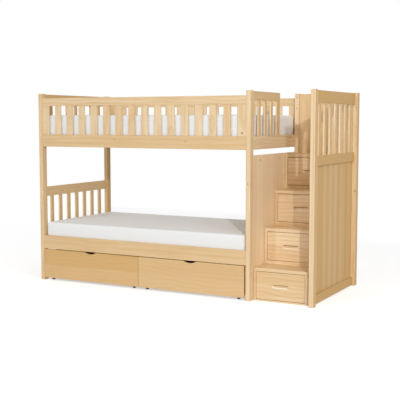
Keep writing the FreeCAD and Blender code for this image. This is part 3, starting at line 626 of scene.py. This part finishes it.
# %% [markdown]
# Cloth under pressure gives the cover its slight swell. Remeshing first gives the cloth even
# squares to bend. A simulation may push a point further than a firm mattress would, so each
# point's way is measured afterwards and cut to the cap.

# %% Blow the cover up
VOXEL = 0.014
PRESSURE = 4.0
SWELL_CAP = 0.003
SIMULATED_FRAMES = 20
SMALLEST_MOVE = 1e-9     # keeps the division below from meeting zero

keep_modifier(lower_mattress, "REMESH", mode="VOXEL", voxel_size=VOXEL)


def blow_up(piece):
    """Swell a piece as cloth, and hold each point within the cap of where it started."""
    before = [point.co.copy() for point in piece.data.vertices]
    cloth = piece.modifiers.new("Cloth", "CLOTH")
    cloth.settings.use_pressure = True
    cloth.settings.uniform_pressure_force = PRESSURE
    cloth.settings.effector_weights.gravity = 0.0
    cloth.point_cache.frame_end = SIMULATED_FRAMES
    for number in range(1, SIMULATED_FRAMES + 1):
        scene.frame_set(number)
    alone(piece)
    bpy.ops.object.modifier_apply(modifier=cloth.name)
    furthest = 0.0
    for point, start in zip(piece.data.vertices, before):
        move = point.co - start
        furthest = max(furthest, move.length)
        point.co = start + move * min(1.0, SWELL_CAP / max(move.length, SMALLEST_MOVE))
    scene.frame_set(1)
    return furthest


print("the cover would have moved", round(blow_up(lower_mattress) * 1000, 1), "mm")
keep_modifier(lower_mattress, "SUBSURF", levels=1, render_levels=1)
alone(lower_mattress)
bpy.ops.object.shade_smooth()
print("the mattress has", len(lower_mattress.data.polygons), "faces")

# %% [markdown]
# The cover is a white knit. Two wave textures that cross give its rows of stitches, far too fine to
# model. Its border round the sides is painted a little greyer than the panel on the top, as painted
# shade that keeps the sides darker than the top, and the change between them follows the height.

# %% Knitted cover
KNIT = 0.0022            # one stitch of the knit
WAVE_LENGTH = 0.32       # a wave texture of scale 1 repeats after about this length
# the border's greyer colour is painted shade on the mattress's sides
BORDER_DARK, BORDER_LIGHT = colour(0.83, 0.84, 0.84), colour(0.87, 0.88, 0.88)
PANEL_DARK, PANEL_LIGHT = colour(0.91, 0.925, 0.925), colour(0.945, 0.96, 0.965)
BORDER_ENDS = 0.012      # how far below the top the border starts to give way
PANEL_BEGINS = 0.004     # and how far below it the panel is all there is


def knitted_cover(name, top):
    """White knitted fabric: crossing rows of stitches, and a soft unevenness."""
    finish, recipe, shader = new_finish(name, Roughness=0.85, Sheen_Weight=0.25)
    here = recipe.here()
    rows, cross = (recipe.node("TexWave", {"wave_type": "BANDS", "bands_direction": direction,
                                           "wave_profile": "SIN"},
                               {"Vector": here, "Scale": WAVE_LENGTH / KNIT}, "Fac")
                   for direction in "XY")
    stitches = rows * cross
    mottled = stitches * 0.5 + recipe.noise(here, 9.0, 3.0) * 0.5
    # painted shade: the sides are greyer than the top panel
    border = recipe.mix(mottled, BORDER_DARK, BORDER_LIGHT)
    panel = recipe.mix(mottled, PANEL_DARK, PANEL_LIGHT)
    on_top = recipe.part(here, "Z").ramp(top - BORDER_ENDS, top - PANEL_BEGINS)
    recipe.fill(shader.inputs["Base Color"], recipe.mix(on_top, border, panel))
    bump = recipe.node("Bump", None, {"Strength": 0.4, "Distance": 0.0004, "Height": stitches})
    recipe.fill(shader.inputs["Normal"], bump)
    return finish


lower_mattress.data.materials.append(knitted_cover("lower_knit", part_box("lower_mattress")[1].z))

# %% Lay both mattresses in their beds
upper_mattress = lower_mattress.copy()
upper_mattress.data = lower_mattress.data.copy()
upper_mattress.name = "upper_mattress_cover"
scene.collection.objects.link(upper_mattress)
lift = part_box("upper_mattress")[0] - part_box("lower_mattress")[0]
alone(upper_mattress)
bpy.ops.transform.translate(value=lift)
upper_mattress.data.materials[0] = knitted_cover("upper_knit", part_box("upper_mattress")[1].z)
bpy.ops.object.transform_apply(location=True, rotation=True, scale=True)
for cover, node in ((lower_mattress, "lower_mattress"), (upper_mattress, "upper_mattress")):
    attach(cover, "bed_frame")
    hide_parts(node)
print("the upper mattress lies", round(lift.z, 3), "m above the lower one")

# %% [markdown]
# ## Floor and light
#
# The bed stands on a plain pale floor against white. The floor shows nearly white to the camera
# and in reflections, but the bed only gets the light of a plain pale floor, so that its underside
# stays in shade.

# %% Floor
FLOOR_SIZE = 30.0
FLOOR_PALE = colour(0.80, 0.80, 0.80)
FLOOR_GLOW = 0.50
BLACK = colour(0, 0, 0)

bpy.ops.object.select_all(action="DESELECT")
bpy.ops.mesh.primitive_plane_add(size=FLOOR_SIZE)
floor = bpy.context.active_object
floor.name = "floor"
floor_finish, floor_recipe, floor_shader = new_finish("pale_floor", Roughness=0.9,
                                                      Emission_Strength=1.0)
floor_shader.inputs["Base Color"].default_value = FLOOR_PALE
seen = floor_recipe.node("LightPath", None, None, "Is Camera Ray")
mirrored = floor_recipe.node("LightPath", None, None, "Is Glossy Ray")
glow = floor_recipe.mix(seen.maths("MAXIMUM", mirrored), BLACK, colour(*(FLOOR_GLOW,) * 3))
floor_recipe.fill(floor_shader.inputs["Emission Color"], glow)
floor.data.materials.append(floor_finish)

# %% [markdown]
# The room is white to look at, and gives the bed less than half of that as light, so that the
# lamps' shadows keep their strength.

# %% White room
ROOM_LIGHT = 0.40

world = bpy.data.worlds.new("white_room")
scene.world = world
world.use_nodes = True
room = Recipe(world.node_tree)
paths = [room.node("LightPath", None, None, name)
         for name in ("Is Camera Ray", "Is Glossy Ray", "Is Transmission Ray")]
direct = paths[0].maths("MAXIMUM", paths[1]).maths("MAXIMUM", paths[2])
background = world.node_tree.nodes["Background"]
background.inputs["Color"].default_value = colour(1.0, 1.0, 1.0)
room.fill(background.inputs["Strength"], direct * (1.0 - ROOM_LIGHT) + ROOM_LIGHT)

# %% [markdown]
# Two far lamps with nearly parallel light draw the shadows on the steps, as on the real bed: a low
# one from the right, whose shadows are crisp, and a higher, weaker one from the left. A large
# round softbox to the right fills the shadows.

# %% Lamps
BED_MIDDLE = Vector((0.1, 0.0, 0.75))


def place_lamp(name, kind, side, height, distance, energy):
    """A lamp that shines at the middle of the bed.

    side is its angle to the right of straight on and height its angle above the horizon."""
    side, height = radians(side), radians(height)
    towards = Vector((sin(side) * cos(height), -cos(side) * cos(height), sin(height)))
    bpy.ops.object.light_add(type=kind, location=BED_MIDDLE + towards * distance)
    made = bpy.context.active_object
    made.name = name
    made.data.energy = energy
    made.rotation_euler = (-towards).to_track_quat("-Z", "Y").to_euler()
    print(name, "stands", round(distance, 1), "m away")
    return made.data


right_key = place_lamp("right_key", "SUN", side=33.5, height=16.3, distance=8.0, energy=0.95)
right_key.angle = radians(1.5)
left_key = place_lamp("left_key", "SUN", side=-19.5, height=28, distance=8.0, energy=0.50)
left_key.angle = radians(5)
front_softbox = place_lamp("front_softbox", "AREA", side=46, height=28, distance=6.0, energy=82)
front_softbox.shape = "DISK"
front_softbox.size = 4.0

# %% [markdown]
# The camera stands where the photographer stood. Its place, turn and lens were worked out from
# where the bed's corners appear in the photograph.

# %% Camera
EYE = Vector((3.4454, -6.4375, 1.3863))
TURNED_LEFT = radians(27.9)
TIPPED_DOWN = radians(5.3)
LENS = 77.2              # focal length in millimetres
FARTHEST_SEEN = 200.0

camera_turn = (radians(90) - TIPPED_DOWN, 0.0, TURNED_LEFT)
bpy.ops.object.camera_add(location=EYE, rotation=camera_turn)
camera = bpy.context.active_object
camera.data.lens = LENS
camera.data.clip_end = FARTHEST_SEEN
scene.camera = camera
scene.view_settings.view_transform = "Standard"
print("the camera is", round((EYE - BED_MIDDLE).length, 2), "m from the bed's middle")
